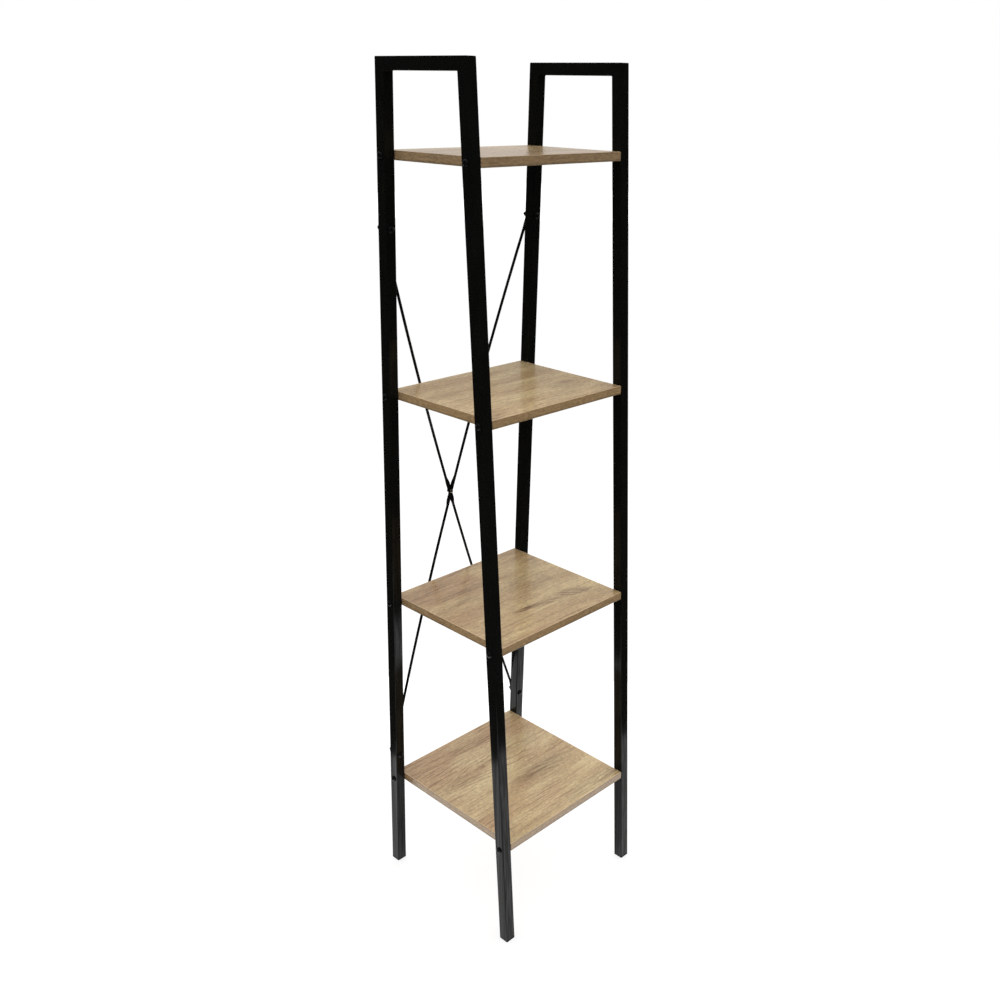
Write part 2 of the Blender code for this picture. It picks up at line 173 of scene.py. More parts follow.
# Depths of the print: growth lines, what rose adds to them, arches and pores, and how far the fine and the
# coarser grain sway the tone
LINE_DEPTH = 0.2
ROSY_LINE_DEPTH = 0.38
ARCH_DEPTH = 0.6
PORE_DEPTH = 0.4
FINE_SWAY = 0.12
GRAIN_SWAY = 0.24

# Depth of the print's relief, in metres
PRINT_RELIEF = 0.00004

# Depths of the two lines along the arrises, the pale one a painted highlight, and where the dark one starts
# to fade and ends, in line widths
HIGHLIGHT_LINE = 0.4
DARK_LINE = 0.33
DARK_LINE_FADE = 1.2
DARK_LINE_END = 1.7

# Noise stays mostly between these
NOISE_LIMITS = (0.3, 0.7)

# Corners of the pale paper on the floor, as the legs mirror its edges. Dark ground begins there, reaches
# so many times farther out and lies so high over the floor, whose size is half its side.
PAPER = ((-1.0, -0.31), (-0.31, -1.14), (1.05, -0.1), (0.04, 1.01))
GROUND_SPREAD = 16
GROUND_RISE = 0.001
FLOOR_SIZE = 12

# The backdrop: its facets, the direction and half the sweep of its grey part, the heights between which
# its glow rises and then falls to a share, and the tint of the glow
BACKDROP_SIDES = 96
GREY_MIDDLE = radians(42.5)
GREY_HALF_SWEEP = radians(50)
GLOW_RISE = (1.75, 2.05)
GLOW_FALL = (2.15, 2.45)
GLOW_LEFT = 0.72
GLOW_TINT = (1, 0.95, 0.91, 1)

# Where the lamp hangs, seen from above, and what it points at
LAMP_PLACE = (1.5, 1.6)
LAMP_AIM = (0, 0, 0.6)

# The camera of the photograph: its place, its yaw, pitch and roll in degrees, its lens and sensor in
# millimetres, its shift, and the nearest and farthest that it sees
CAMERA_PLACE = (-1.238013, -1.309497, 1.500594)
CAMERA_TURN = (47.511, -21.837, 1.187)
CAMERA_LENS = 38.08
CAMERA_SENSOR = 36
CAMERA_SHIFT = (-0.0792, 0.0121)
CAMERA_CLIP = (0.05, 60)


# Settings

def colour(name, description, default):
    return FloatVectorProperty(name=name, description=description, subtype="COLOR", size=3, min=0, max=1,
                               default=default)


def length(name, description, default):
    return FloatProperty(name=name, description=description, default=default, min=0, max=10, unit="LENGTH",
                         precision=4)


def share(name, description, default, high=1.0):
    return FloatProperty(name=name, description=description, default=default, min=0, max=high,
                         subtype="FACTOR" if high == 1.0 else "NONE")


class MetalSettings(bpy.types.PropertyGroup):
    paint: colour("Paint", "Black powder coat of the side frames and rods", (0.0046, 0.0046, 0.0041))
    paint_roughness: share("Paint roughness", "How satin the powder coat is", 0.12)
    peel: length("Peel size", "Distance between the soft dimples of the powder coat", 0.0016)
    black_steel: colour("Black steel", "Finish of the bolts and brace nuts", (0.005, 0.005, 0.005))
    zinc: colour("Zinc", "Plating of the middle screw, its nut and the inserts", (0.38, 0.38, 0.38))
    plastic: colour("Plastic", "Moulded foot caps", (0.003, 0.003, 0.003))


class BoardSettings(bpy.types.PropertyGroup):
    light: colour("Light oak", "Pale tone of the print", (0.47, 0.338, 0.18))
    mid: colour("Middle oak", "Warm tone of the print", (0.34, 0.22, 0.11))
    rose: colour("Rose oak", "Pinker tone that drifts over the print", (0.34, 0.203, 0.104))
    flame: colour("Flame", "Brown of the streaks and growth lines", (0.14, 0.07, 0.028))
    band: colour("Edge band", "Tone of the glued edge band", (0.325, 0.217, 0.113))
    pore: colour("Pores", "Dark of the printed pores", (0.13, 0.085, 0.05))
    roughness: share("Roughness", "How satin the melamine face is", 0.24)
    # Colour of a darker line along the lower arris of the band
    lower_arris_dark: colour("Dark line", "Line along the lower arris of the band", (0.08, 0.065, 0.045))
    # The pale line along the face's arrises is a painted highlight
    arris: colour("Pale line", "Line along the arrises of the face", (0.8, 0.62, 0.42))
    line_width: length("Line width", "Width of the lines along the arrises", 0.0022)


class FastenerSettings(bpy.types.PropertyGroup):
    sides: IntProperty(name="Sides", description="Points round each fastener", default=48, min=12, max=96)
    thread: length("Thread", "Diameter of the M6 bolts", 0.006)
    head_height: length("Head height", "Height of the M6 heads", 0.0033)
    socket: length("Socket", "Width of the hexagon socket of the M6 heads", 0.004)
    socket_depth: length("Socket depth", "Depth of the hexagon socket of the M6 heads", 0.0018)
    pitch: length("Pitch", "Climb of the M6 thread in one turn", 0.001)
    shelf_threaded: length("Shelf thread", "Threaded length of the shelf bolts", 0.014)
    brace_threaded: length("Brace thread", "Threaded length of the brace bolts", 0.012)
    nut_width: length("Nut width", "M6 nut across its flats", 0.010)
    nut_play: length("Nut play", "How much wider the nuts' bores are than their threads", 0.0003)
    middle_thread: length("Middle thread", "Diameter of the M4 screw", 0.004)
    middle_head_height: length("Middle head height", "Height of the M4 head", 0.0022)
    middle_socket: length("Middle socket", "Width of the hexagon socket of the M4 head", 0.0025)
    middle_socket_depth: length("Middle socket depth", "Depth of the hexagon socket of the M4 head", 0.0012)
    middle_pitch: length("Middle pitch", "Climb of the M4 thread in one turn", 0.0007)
    middle_threaded: share("Middle threaded share", "Threaded share of the M4 screw", 0.7)
    middle_nut_width: length("Middle nut width", "M4 nut across its flats", 0.007)


class StudioSettings(bpy.types.PropertyGroup):
    floor: share("Floor", "How pale the floor is", 0.3)
    glow: share("Floor glow", "What the floor adds where the camera sees it", 0.76)
    mirrored: share("Mirrored glow", "What the floor adds where metal mirrors it", 1.55, 3.0)
    # Less mirrored glow under the object is a painted shadow that metal mirrors
    under: share("Mirrored glow under", "Share of the mirrored glow that is left under the object", 0.5)
    # Bounce is a painted light: the floor round the object glows for the object's diffuse light
    bounce: share("Bounce", "What the floor round the object adds to the light from below", 1.1, 2.0)
    footprint: length("Footprint", "Half the width of the shaded floor under the object", 0.15)
    reach: length("Shadow reach", "How far from the object the floor keeps its shadow", 0.57)
    backdrop_radius: length("Backdrop distance", "How far off the backdrop hangs", 3.0)
    backdrop_height: length("Backdrop height", "Height of the backdrop", 3.4)
    grey: share("Grey backdrop", "How bright the backdrop behind the object is, low down", 0.66)
    grey_high: share("Grey backdrop, high", "How bright that backdrop is at its brightest", 1.1, 2.0)
    dark: share("Dark backdrop", "How pale the ground and the backdrop round the object are", 0.03)
    sky: share("Even light", "Strength of the even light on the object", 1.08, 2.0)
    lamp: share("Lamp", "Strength of the soft lamp behind the object, in watts", 20.0, 500.0)
    lamp_size: length("Lamp size", "Side of the lamp", 1.6)
    lamp_height: length("Lamp height", "Height of the lamp", 1.9)


# Nodes

def add(tree, kind, inputs=None, **settings):
    """A node with its settings, and with values or links on its inputs."""
    made = tree.nodes.new(kind)
    for key, value in settings.items():
        setattr(made, key, value)
    for key, value in (inputs or {}).items():
        if isinstance(value, bpy.types.NodeSocket):
            tree.links.new(value, made.inputs[key])
        else:
            made.inputs[key].default_value = value
    return made


def maths(tree, operation, first, second=0.0, third=0.0, clamp=False):
    """The outcome of a Math node."""
    inputs = {0: first, 1: second, 2: third}
    return add(tree, "ShaderNodeMath", inputs, operation=operation, use_clamp=clamp).outputs[0]


def times(tree, first, second, clamp=False):
    """Two numbers multiplied."""
    return maths(tree, "MULTIPLY", first, second, clamp=clamp)


def times_plus(tree, first, second, third):
    """Two numbers multiplied, and a third added."""
    return maths(tree, "MULTIPLY_ADD", first, second, third)


def ranged(tree, value, low, high, to_low=0.0, to_high=1.0, smooth=True):
    """A value moved from one range into another, and kept in it."""
    inputs = {"Value": value, "From Min": low, "From Max": high, "To Min": to_low, "To Max": to_high}
    kind = "SMOOTHSTEP" if smooth else "LINEAR"
    return add(tree, "ShaderNodeMapRange", inputs, interpolation_type=kind).outputs["Result"]


def mixed(tree, factor, first, second, blend="MIX"):
    """Two colours mixed."""
    ends = [end if isinstance(end, bpy.types.NodeSocket) else (*end, 1) for end in (first, second)]
    inputs = {0: factor, 6: ends[0], 7: ends[1]}
    return add(tree, "ShaderNodeMix", inputs, data_type="RGBA", blend_type=blend).outputs[2]


def between(tree, factor, first, second):
    """Two numbers mixed."""
    return add(tree, "ShaderNodeMix", {0: factor, 2: first, 3: second}, data_type="FLOAT").outputs[0]


def swayed(tree, noise, low, high):
    """Noise spread over a range."""
    return ranged(tree, noise, *NOISE_LIMITS, low, high, smooth=False)


def noise_at(tree, place, scale, detail, roughness=0.5, distortion=0.0):
    """Noise in three dimensions."""
    inputs = {"Vector": place, "Scale": scale, "Detail": detail, "Roughness": roughness}
    return add(tree, "ShaderNodeTexNoise", {**inputs, "Distortion": distortion}).outputs["Fac"]


def stretched(tree, place, scale):
    """A place scaled differently along X, Y and Z."""
    return add(tree, "ShaderNodeVectorMath", {0: place, 1: scale}, operation="MULTIPLY").outputs[0]


def spots(tree, place, scale, detail, roughness=0.5, distortion=0.0):
    """Noise whose size differs along X, Y and Z."""
    return noise_at(tree, stretched(tree, place, scale), 1.0, detail, roughness, distortion)


def point_at(tree, x, y, z):
    """A place made of three numbers."""
    return add(tree, "ShaderNodeCombineXYZ", {0: x, 1: y, 2: z}).outputs[0]


def parts_of(tree, place):
    """The three numbers of a place."""
    return add(tree, "ShaderNodeSeparateXYZ", {0: place}).outputs


def new_group(name, inputs, outputs):
    """An empty node group: its tree, its inputs, which have defaults, and its outputs, which are numbers."""
    tree = bpy.data.node_groups.new(name, "ShaderNodeTree")
    for label, default in inputs.items():
        kind = "NodeSocketVector" if isinstance(default, tuple) else "NodeSocketFloat"
        tree.interface.new_socket(name=label, in_out="INPUT", socket_type=kind).default_value = default
    for label in outputs:
        tree.interface.new_socket(name=label, in_out="OUTPUT", socket_type="NodeSocketFloat")
    return tree, tree.nodes.new("NodeGroupInput").outputs, tree.nodes.new("NodeGroupOutput").inputs


def placed(tree, name, build, inputs):
    """The outputs of a shared group, built at its first use and placed with a material's own values."""
    group = bpy.data.node_groups.get(name) or build(name)
    return add(tree, "ShaderNodeGroup", inputs, node_tree=group).outputs


# Shared effects

def coat_texture(name):
    """Soft dimples, broad mottling and lengthwise lines of a coated or moulded surface."""
    inputs = {"Place": (0, 0, 0), "Dimple size": 0.0016, "Line size": 0.0012}
    tree, given, out = new_group(name, inputs, ("Dimples", "Mottling", "Lines"))
    dimples_per_metre = maths(tree, "DIVIDE", 1.0, given["Dimple size"])
    lines_per_metre = maths(tree, "DIVIDE", 1.0, given["Line size"])
    drawn_out = stretched(tree, given["Place"], (1, 1, 0.006))
    tree.links.new(noise_at(tree, given["Place"], dimples_per_metre, 1.5), out["Dimples"])
    tree.links.new(spots(tree, given["Place"], MOTTLING_SPOTS, 3.0), out["Mottling"])
    tree.links.new(noise_at(tree, drawn_out, lines_per_metre, 2.0, 0.6), out["Lines"])
    return tree


def edge_wear(name):
    """A mask along the edges, broken up by noise."""
    inputs = {"Place": (0, 0, 0), "Width": 0.001, "Breaks": 90.0}
    tree, given, out = new_group(name, inputs, ("Wear", "Edge"))
    rounded = add(tree, "ShaderNodeBevel", {"Radius": given["Width"]}, samples=6).outputs["Normal"]
    flat = add(tree, "ShaderNodeNewGeometry").outputs["Normal"]
    along = add(tree, "ShaderNodeVectorMath", {0: rounded, 1: flat}, operation="DOT_PRODUCT").outputs["Value"]
    edge = ranged(tree, along, 0.995, 0.9)
    broken = ranged(tree, noise_at(tree, given["Place"], given["Breaks"], 3.0, 0.6), 0.42, 0.62)
    tree.links.new(times(tree, edge, broken), out["Wear"])
    tree.links.new(edge, out["Edge"])
    return tree


def oval_mask(tree, along, across, size):
    """One in the middle of an oval and nothing at its rim. The size is half its length and half its width."""
    scaled_along = maths(tree, "DIVIDE", along, size[0])
    scaled_across = maths(tree, "DIVIDE", across, size[1])
    square = times(tree, scaled_along, scaled_along)
    square = times_plus(tree, scaled_across, scaled_across, square)
    return ranged(tree, maths(tree, "SQRT", square), 1.0, 0.4)


def oak_print(name):
    """An oak-look print along the first axis: how it wanders, and its layers. Rose alone doesn't wander."""
    inputs = dict.fromkeys(("Along", "Across", "Seed"), 0.0)
    tree, given, out = new_group(name, inputs, ("Bent", *PRINT_LAYERS))
    place = point_at(tree, given["Along"], given["Across"], given["Seed"])
    wander = maths(tree, "SUBTRACT", spots(tree, place, WANDER_SPOTS, 2.0), 0.5)
    bent = times_plus(tree, wander, WANDER, given["Across"])
    bent_place = point_at(tree, given["Along"], bent, given["Seed"])
    tree.links.new(bent, out["Bent"])
    for label, (scale, detail, roughness, limits) in PRINT_LAYERS.items():
        noise = spots(tree, place if label == "Rose" else bent_place, scale, detail, roughness)
        tree.links.new(ranged(tree, noise, *limits) if limits else noise, out[label])
    return tree


def wood_streak(name):
    """A brown streak inside an oval, made of broken strokes that may slant across the grain."""
    inputs = dict.fromkeys(("Along", "Bent", "Seed", *STREAK_LABELS), 0.0)
    tree, given, out = new_group(name, inputs, ("Streak",))
    from_middle = maths(tree, "SUBTRACT", given["Along"], given["Middle along"])
    drop = times_plus(tree, from_middle, given["Slope"], given["Middle across"])
    beside = maths(tree, "SUBTRACT", given["Bent"], drop)
    mask = oval_mask(tree, from_middle, beside, (given["Length"], given["Width"]))
    slanted = times_plus(tree, from_middle, given["Slant"], beside)
    place = point_at(tree, given["Along"], slanted, given["Seed"])
    strokes = ranged(tree, spots(tree, place, STROKE_SPOTS, 3.0, 0.6, 0.3), 0.4, 0.62)
    strokes = times_plus(tree, strokes, 0.6, 0.3)
    strokes = times(tree, strokes, given["Depth"])
    tree.links.new(times(tree, mask, strokes), out["Streak"])
    return tree


def wood_arches(name):
    """Nested arches of growth lines that open along the grain, and the oval in which they show."""
    inputs = dict.fromkeys(("Along", "Bent", "Seed", *ARCH_LABELS), 0.0)
    tree, given, out = new_group(name, inputs, ("Arches", "Mask"))
    from_tip = maths(tree, "SUBTRACT", given["Along"], given["Tip along"])
    beside = maths(tree, "SUBTRACT", given["Bent"], given["Tip across"])
    squeezed = times(tree, from_tip, ARCH_STRETCH)
    square = times_plus(tree, beside, beside, times(tree, squeezed, squeezed))
    field = maths(tree, "SUBTRACT", maths(tree, "SQRT", square), squeezed)
    place = point_at(tree, given["Along"], given["Bent"], given["Seed"])
    wobble = ranged(tree, spots(tree, place, WOBBLE_SPOTS, 2.0), 0.2, 0.8, -0.5, 0.5, smooth=False)
    rings = times_plus(tree, field, ARCHES_PER_METRE, wobble)
    line = ranged(tree, maths(tree, "PINGPONG", rings, 0.5), 0.26, 0.46)
    broken = ranged(tree, spots(tree, place, BREAK_SPOTS, 2.0), 0.3, 0.55, 0.35, 1.0)
    middle = times_plus(tree, given["Length"], -0.36, from_tip)
    half = times(tree, given["Length"], 0.6)
    tree.links.new(times(tree, line, broken), out["Arches"])
    tree.links.new(oval_mask(tree, middle, beside, (half, given["Width"])), out["Mask"])
    return tree


# Materials

def new_material(name):
    """A material with an empty Principled shader: its tree, the shader and the place on the object."""
    material = bpy.data.materials.new(name)
    material.use_nodes = True
    tree = material.node_tree
    shader = tree.nodes["Principled BSDF"]
    place = add(tree, "ShaderNodeTexCoord").outputs["Object"]
    return material, tree, shader, place


def bumped(tree, shader, height, distance):
    """Relief of a depth in metres."""
    inputs = {"Height": height, "Distance": distance, "Strength": 1.0}
    tree.links.new(add(tree, "ShaderNodeBump", inputs).outputs["Normal"], shader.inputs["Normal"])


def tinted(tree, tone, tint):
    """A colour times a number that changes over the surface."""
    grey = add(tree, "ShaderNodeCombineColor", {0: tone, 1: tone, 2: tone}).outputs[0]
    return mixed(tree, 1.0, tint, grey, "MULTIPLY")


def lengthwise(tree, place):
    """The place with its third axis along the tube: up the legs, and along the top bars."""
    x, y, z = parts_of(tree, place)
    turned = point_at(tree, x, z, y)
    on_bar = maths(tree, "GREATER_THAN", z, CAD_BOX[1][2] - TUBE)
    return add(tree, "ShaderNodeMix", {0: on_bar, 4: place, 5: turned}, data_type="VECTOR").outputs[1]


def coated_material(name, tint, pale, roughness, dimple, line, depth, wear_width, metallic=0.0, specular=0.5,
                    lacquer=None):
    """A coated metal or moulded plastic: dimples, mottling, lengthwise lines and, along the edges, a paler
    tone that is partly a little wear and partly a painted sheen.

    A lacquer is the refractive index of a clear top coat, thinner in lengthwise lines and along the edges.
    """
    material, tree, shader, place = new_material(name)
    place = lengthwise(tree, place)
    inputs = {"Place": place, "Dimple size": dimple, "Line size": line}
    coat = placed(tree, "Coat texture", coat_texture, inputs)
    wear_and_sheen = placed(tree, "Edge wear", edge_wear, {"Place": place, "Width": wear_width})["Wear"]
    tone = swayed(tree, coat["Mottling"], 0.85, 1.15)
    # Along the edges the tone turns towards the paler one: partly a little wear, partly a painted sheen
    base = mixed(tree, times(tree, wear_and_sheen, 0.35), tinted(tree, tone, tint), pale)
    tree.links.new(base, shader.inputs["Base Color"])
    satin = swayed(tree, coat["Mottling"], roughness * 0.88, roughness * 1.12)
    lined = ranged(tree, coat["Lines"], 0.35, 0.65, roughness * -0.2, roughness * 0.2, smooth=False)
    satin = times_plus(tree, wear_and_sheen, 0.04, maths(tree, "ADD", satin, lined))
    tree.links.new(satin, shader.inputs["Roughness"])
    shader.inputs["Metallic"].default_value = metallic
    shader.inputs["Specular IOR Level"].default_value = specular
    if lacquer:
        rim = placed(tree, "Edge wear", edge_wear, {"Place": place, "Width": wear_width * 2.5})["Edge"]
        top = ranged(tree, coat["Lines"], 0.38, 0.62, 0.5, 1.0)
        top = times(tree, top, times_plus(tree, rim, -0.85, 1.0))
        tree.links.new(top, shader.inputs["Coat Weight"])
        shader.inputs["Coat Roughness"].default_value = roughness
        shader.inputs["Coat IOR"].default_value = lacquer
    height = times_plus(tree, coat["Lines"], 0.6, coat["Dimples"])
    bumped(tree, shader, height, depth)
    return material


def oak_material(name, settings, figure, low, high):
    """The oak-look face and edge band of one board."""
    material, tree, shader, place = new_material(name)
    normal = tree.nodes["Texture Coordinate"].outputs["Normal"]
    x, y, z = parts_of(tree, place)
    facing = add(tree, "ShaderNodeVectorMath", {0: normal}, operation="ABSOLUTE").outputs[0]
    across_end, _, upward = parts_of(tree, facing)
    on_end = maths(tree, "GREATER_THAN", across_end, END_LIMIT)
    on_face = ranged(tree, upward, *FACE_LIMITS)
    on_band = maths(tree, "SUBTRACT", 1.0, on_face)
    along = between(tree, on_end, x, y)
    across = between(tree, on_band, y, z)
    seed = times_plus(tree, on_band, BAND_SEED, figure["seed"])
    oak = placed(tree, "Oak print", oak_print, {"Along": along, "Across": across, "Seed": seed})
    wandering = {"Along": along, "Bent": oak["Bent"], "Seed": seed}

    # Tones of the face and of the band; the face is also shaded along X and Y, partly as painted light
    face = mixed(tree, oak["Tone"], settings.light, settings.mid)
    drift = times(tree, y, figure["drift"][1])
    drift = times_plus(tree, x, figure["drift"][0], drift)
    rosy = maths(tree, "ADD", drift, oak["Rose"])
    rosy = times(tree, rosy, figure["rose"], clamp=True)
    face = mixed(tree, rosy, face, settings.rose)
    # Painted light: the face turns lighter or darker along X and Y, and takes the board's own tone, which
    # partly paints more light on the lower boards
    pale = times_plus(tree, y, figure["shade"][1], 1.0)
    pale = times_plus(tree, x, figure["shade"][0], pale)
    face = mixed(tree, 1.0, face, tinted(tree, pale, figure["tone"]), "MULTIPLY")
    band = mixed(tree, times(tree, oak["Tone"], BAND_MID), settings.band, settings.mid)
    band = tinted(tree, between(tree, on_end, figure["band"], figure["band"] * BAND_END), band)
    base = mixed(tree, on_band, face, band)

    # Growth lines, deeper in the rosy places, arches and brown streaks
    line_depth = times_plus(tree, rosy, ROSY_LINE_DEPTH, LINE_DEPTH)
    lines = times(tree, oak["Lines"], line_depth)
    if "arches" in figure:
        inputs = {**wandering, **dict(zip(ARCH_LABELS, figure["arches"]))}
        arches = placed(tree, "Wood arches", wood_arches, inputs)
        shown = times(tree, arches["Mask"], on_face)
        lines = between(tree, shown, lines, times(tree, arches["Arches"], ARCH_DEPTH))
    base = mixed(tree, lines, base, settings.flame)
    for values in figure["streaks"]:
        inputs = {**wandering, **dict(zip(STREAK_LABELS, values))}
        streak = placed(tree, "Wood streak", wood_streak, inputs)["Streak"]
        base = mixed(tree, times(tree, streak, on_face), base, settings.flame)

    # Fine and coarser grain, and pores
    fine = swayed(tree, oak["Fine"], 1 - FINE_SWAY, 1 + FINE_SWAY)
    coarse = swayed(tree, oak["Grain"], 1 - GRAIN_SWAY, 1 + GRAIN_SWAY)
    base = tinted(tree, times(tree, fine, coarse), base)
    base = mixed(tree, times(tree, oak["Pores"], PORE_DEPTH), base, settings.pore)

    # Pale line along the arrises of the face, a painted highlight, and a dark one along the lower arris of
    # the band
    width = settings.line_width
    inside_x = maths(tree, "SUBTRACT", high[0], maths(tree, "ABSOLUTE", x))
    inside_y = maths(tree, "SUBTRACT", high[1], maths(tree, "ABSOLUTE", y))
    highlight_line = ranged(tree, maths(tree, "MINIMUM", inside_x, inside_y), width, width * 0.5)
    highlight_line = times(tree, highlight_line, times(tree, on_face, HIGHLIGHT_LINE))
    base = mixed(tree, highlight_line, base, settings.arris)
    above = maths(tree, "SUBTRACT", z, low[2])
    dark_line = ranged(tree, above, width * DARK_LINE_END, width * DARK_LINE_FADE, 0.0, DARK_LINE)
    dark_line = times(tree, dark_line, ranged(tree, upward, *FLAT_LIMITS))
    base = mixed(tree, dark_line, base, settings.lower_arris_dark)
    tree.links.new(base, shader.inputs["Base Color"])

    # Gloss and relief
    satin = swayed(tree, oak["Fine"], settings.roughness - 0.03, settings.roughness + 0.04)
    satin = times_plus(tree, oak["Pores"], 0.12, satin)
    tree.links.new(satin, shader.inputs["Roughness"])
    shader.inputs["Specular IOR Level"].default_value = figure["gloss"]
    height = times_plus(tree, oak["Pores"], -1.0, times(tree, oak["Fine"], 0.35))
    bumped(tree, shader, height, PRINT_RELIEF)
    return material


def plain_tone(name, tone):
    """A matt surface that may be made to glow: its material, tree, shader and the place on the object."""
    material, tree, shader, place = new_material(name)
    shader.inputs["Base Color"].default_value = (tone, tone, tone, 1)
    shader.inputs["Emission Color"].default_value = (1, 1, 1, 1)
    shader.inputs["Roughness"].default_value = 1.0
    shader.inputs["Specular IOR Level"].default_value = 0.0
    shader.inputs["Emission Strength"].default_value = 0.0
    material.cycles.emission_sampling = "NONE"
    return material, tree, shader, place


def floor_material(settings):
    """The floor: it keeps the shadow, and is white where it is seen, in metal too.

    Round the object, but not under it, the floor also glows for the object's diffuse light, a painted light
    from below like that of a bright studio floor. Under the object the glow that metal mirrors is weaker: a
    painted shadow.
    """
    material, tree, shader, place = plain_tone("studio_floor", settings.floor)
    path = add(tree, "ShaderNodeLightPath").outputs
    seen = maths(tree, "ADD", path["Is Camera Ray"], path["Is Transmission Ray"], clamp=True)
    x, y, _ = parts_of(tree, place)
    distance = maths(tree, "SQRT", times_plus(tree, x, x, times(tree, y, y)))
    edge, reach = settings.footprint, settings.reach
    white = ranged(tree, distance, reach * 0.75, reach, settings.glow, 1.0)
    strength = times(tree, white, seen)
    from_middle = maths(tree, "MAXIMUM", maths(tree, "ABSOLUTE", x), maths(tree, "ABSOLUTE", y))
    # Painted light from below: round the object, but not under it, the floor glows for diffuse light
    around = ranged(tree, from_middle, edge, edge * 1.6)
    painted_bounce = times(tree, path["Is Diffuse Ray"], settings.bounce)
    strength = times_plus(tree, painted_bounce, around, strength)
    # Painted shadow: under the object the glow that metal mirrors falls to a share
    beyond = ranged(tree, from_middle, edge * 0.85, edge * 1.15, settings.under, 1.0)
    mirrored = times(tree, beyond, settings.mirrored)
    strength = times_plus(tree, path["Is Glossy Ray"], mirrored, strength)
    tree.links.new(strength, shader.inputs["Emission Strength"])
    return material


# Finishes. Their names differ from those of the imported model's own plain materials.

def made_once(name, **finish):
    """The coated material of that name, made at its first use."""
    return bpy.data.materials.get(name) or coated_material(name, **finish)


# Each finish's pale tone is what its edges turn towards: partly wear, partly a painted sheen
def black_paint(metal):
    return made_once("black_powder_coat", tint=metal.paint, pale=(0.012, 0.012, 0.011),
                     roughness=metal.paint_roughness, dimple=metal.peel, line=0.003, depth=0.000015,
                     wear_width=0.0008, specular=0.0, lacquer=1.25)


def black_steel(metal):
    return made_once("blackened_steel", tint=metal.black_steel, pale=(0.008, 0.008, 0.008), roughness=0.35,
                     dimple=0.0006, line=0.0008, depth=0.00001, wear_width=0.0004, specular=0.16)


def zinc_plating(metal):
    return made_once("bright_zinc", tint=metal.zinc, pale=(0.6, 0.6, 0.6), roughness=0.32,
                     dimple=0.0009, line=0.0006, depth=0.00001, wear_width=0.0004, metallic=1.0)


def black_plastic(metal):
    return made_once("moulded_plastic", tint=metal.plastic, pale=(0.006, 0.006, 0.006), roughness=0.6,
                     dimple=0.0007, line=0.0016, depth=0.00003, wear_width=0.0006, specular=0.005)


def finish_nodes(names, material):
    """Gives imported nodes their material."""
    for name in names:
        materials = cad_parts[name].data.materials
        materials.clear()
        materials.append(material)


# Fastener forms, made along +Z with the underside of the head or nut at zero. A thread's depth is a share
# of its pitch. A nut's corners are turned off to a share of its width, at a slope of 30 degrees.
THREAD_DEPTH = 0.54
ROWS_PER_TURN = 6
DOME_STEPS = 9
NUT_TURNED = 0.475
NUT_SLOPE = 0.577


def ring_of(form, sides, radius, height):
    """Points round Z. The radius and the height may each be a number, or differ with the angle."""
    points = []
    for i in range(sides):
        angle = tau * i / sides
        r = radius(angle) if callable(radius) else radius
        h = height(angle) if callable(height) else height
        points.append(form.verts.new((r * cos(angle), r * sin(angle), h)))
    return points


def hexagon(across_flats):
    """The radius of a hexagon at an angle."""
    def radius(angle):
        off = (angle + pi / 6) % (pi / 3) - pi / 6
        return across_flats / 2 / cos(off)
    return radius


def skinned(form, rings, joined=False):
    """Faces between rings, closed at the ends or joined from the last to the first."""
    pairs = list(zip(rings, rings[1:]))
    if joined:
        pairs.append((rings[-1], rings[0]))
    else:
        form.faces.new(rings[0])
        form.faces.new(rings[-1])
    for near, far in pairs:
        for i in range(len(near)):
            j = (i + 1) % len(near)
            form.faces.new((near[i], near[j], far[j], far[i]))
    bmesh.ops.recalc_face_normals(form, faces=form.faces)


def to_mesh(name, form, sharp=35):
    mesh = bpy.data.meshes.new(name)
    form.to_mesh(mesh)
    form.free()
    mesh.shade_smooth()
    mesh.set_sharp_from_angle(angle=radians(sharp))
    return mesh


def thread_rings(form, sides, radius, pitch, start, end):
    """A cut thread that climbs from one height to another, and runs out at both."""
    depth = pitch * THREAD_DEPTH
    rows = max(2, int(round((end - start) / pitch * ROWS_PER_TURN)))
    rings = []
    for row in range(rows + 1):
        height = start + (end - start) * row / rows
        fade = min(1, (height - start) / pitch, (end - height) / pitch)

        def threaded(angle, height=height, fade=fade):
            turn = (height / pitch - angle / tau) % 1
            return radius - depth * max(0.0, fade) * abs(2 * turn - 1)

        rings.append(ring_of(form, sides, threaded, height))
    return rings


def bolt_mesh(name, sides, diameter, reach, threaded, head, head_height, socket, socket_depth, pitch):
    """A button-headed bolt: chamfered end, thread, shank, domed head and hexagon socket."""
    form = bmesh.new()
    radius = diameter / 2
    chamfer = diameter * 0.1
    start = -reach + chamfer
    rings = [ring_of(form, sides, radius - chamfer, -reach)]
    rings += thread_rings(form, sides, radius, pitch, start, min(-pitch, start + threaded))

    # The rest of the outline, from the shank over the soft rim and the dome into the socket
    soft = head * 0.012
    rim = head_height * 0.2
    corner = socket / sqrt(3)
    steepest = pi / 2 - atan((corner * 2 * 1.06 + head * 0.04) / head)
    outline = [(radius, -0.0001), (head / 2 - soft, 0), (head / 2, soft), (head / 2, rim)]
    for step in range(1, DOME_STEPS + 1):
        angle = steepest * step / DOME_STEPS
        rise = sin(angle) / sin(steepest)
        outline.append((head / 2 * cos(angle), rim + (head_height - rim) * rise))
    outline += [
        (corner * 1.04, head_height),
        (hexagon(socket), head_height - socket * 0.08),
        (hexagon(socket), head_height - socket_depth),
        (socket * 0.1, head_height - socket_depth - socket * 0.12),
    ]
    rings += [ring_of(form, sides, *point) for point in outline]
    skinned(form, rings)
    return to_mesh(name, form)


